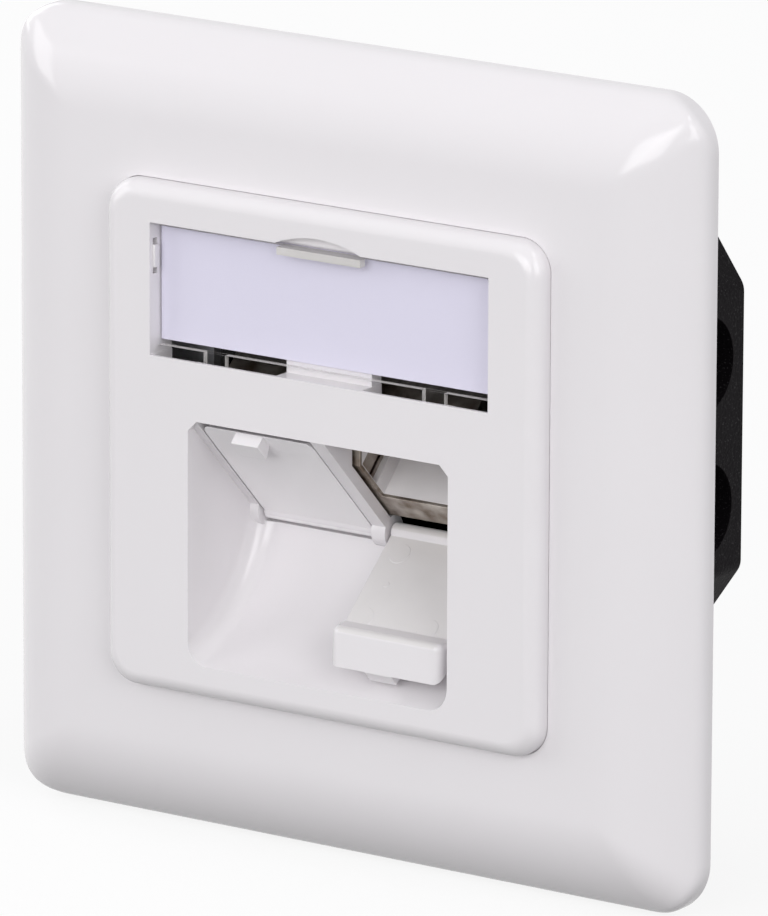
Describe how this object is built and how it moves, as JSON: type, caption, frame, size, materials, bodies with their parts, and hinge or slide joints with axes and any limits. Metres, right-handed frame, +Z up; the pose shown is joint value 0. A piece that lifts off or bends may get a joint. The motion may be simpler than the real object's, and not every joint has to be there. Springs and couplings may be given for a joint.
{
  "type": "wall data outlet",
  "caption": "Flush wall data outlet: square cover frame and centre plate with a tilt-out label window, and a recess where down-tilted network jacks sit behind hinged dust flaps.",
  "frame": {"origin": "midway between the slots for the wall box screws, on the back of the support plate", "axes": "+X to the right, +Z up, and the outlet faces -Y, with the wall plane at Y = 0"},
  "size_m": [0.0792, 0.0378, 0.0792],
  "materials": {
    "white_plastic": "fine satin gloss",
    "clear_plastic": "clear and polished",
    "card": "matt card",
    "zinc_steel": "zinc plated",
    "nickel_sheet": "nickel plated sheet",
    "grey_plastic": "light grey moulding",
    "contact_bronze": "gold plated",
    "board_laminate": "green solder resist",
    "terminal_plastic": "off-white moulding",
    "black_plastic": "spark-textured moulding"
  },
  "bodies": {
    "outlet": {"cover_frame": "white_plastic", "centre_plate": "white_plastic", "label_card": "card", "support_plate": "zinc_steel", "plate_screw": "zinc_steel", "housing_screws": "zinc_steel", "board_screws": "zinc_steel", "jack_shell_left": "nickel_sheet", "jack_shell_right": "nickel_sheet", "jack_insert_left": "grey_plastic", "jack_insert_right": "grey_plastic", "jack_contacts_left": "contact_bronze", "jack_contacts_right": "contact_bronze", "circuit_board": "board_laminate", "terminal_block_left": "terminal_plastic", "terminal_block_right": "terminal_plastic", "terminal_blades_left": "contact_bronze", "terminal_blades_right": "contact_bronze", "rear_housing": "black_plastic"},
    "left_flap": {"dust_flap_left": "white_plastic"},
    "right_flap": {"dust_flap_right": "white_plastic"},
    "label_cover": {"label_window": "clear_plastic"}
  },
  "joints": [
    {"name": "left_flap_hinge", "type": "hinge", "parent": "outlet", "child": "left_flap", "pos_m": [-0.0074, 0.0035, -0.0086], "axis": [1, 0, 0], "range_deg": [0, 87]},
    {"name": "right_flap_hinge", "type": "hinge", "parent": "outlet", "child": "right_flap", "pos_m": [0.0074, 0.0035, -0.0086], "axis": [1, 0, 0], "range_deg": [-87, 0]},
    {"name": "label_cover_hinge", "type": "hinge", "parent": "outlet", "child": "label_cover", "pos_m": [0, -0.007, 0.0077], "axis": [1, 0, 0], "range_deg": [0, 40]}
  ]
}
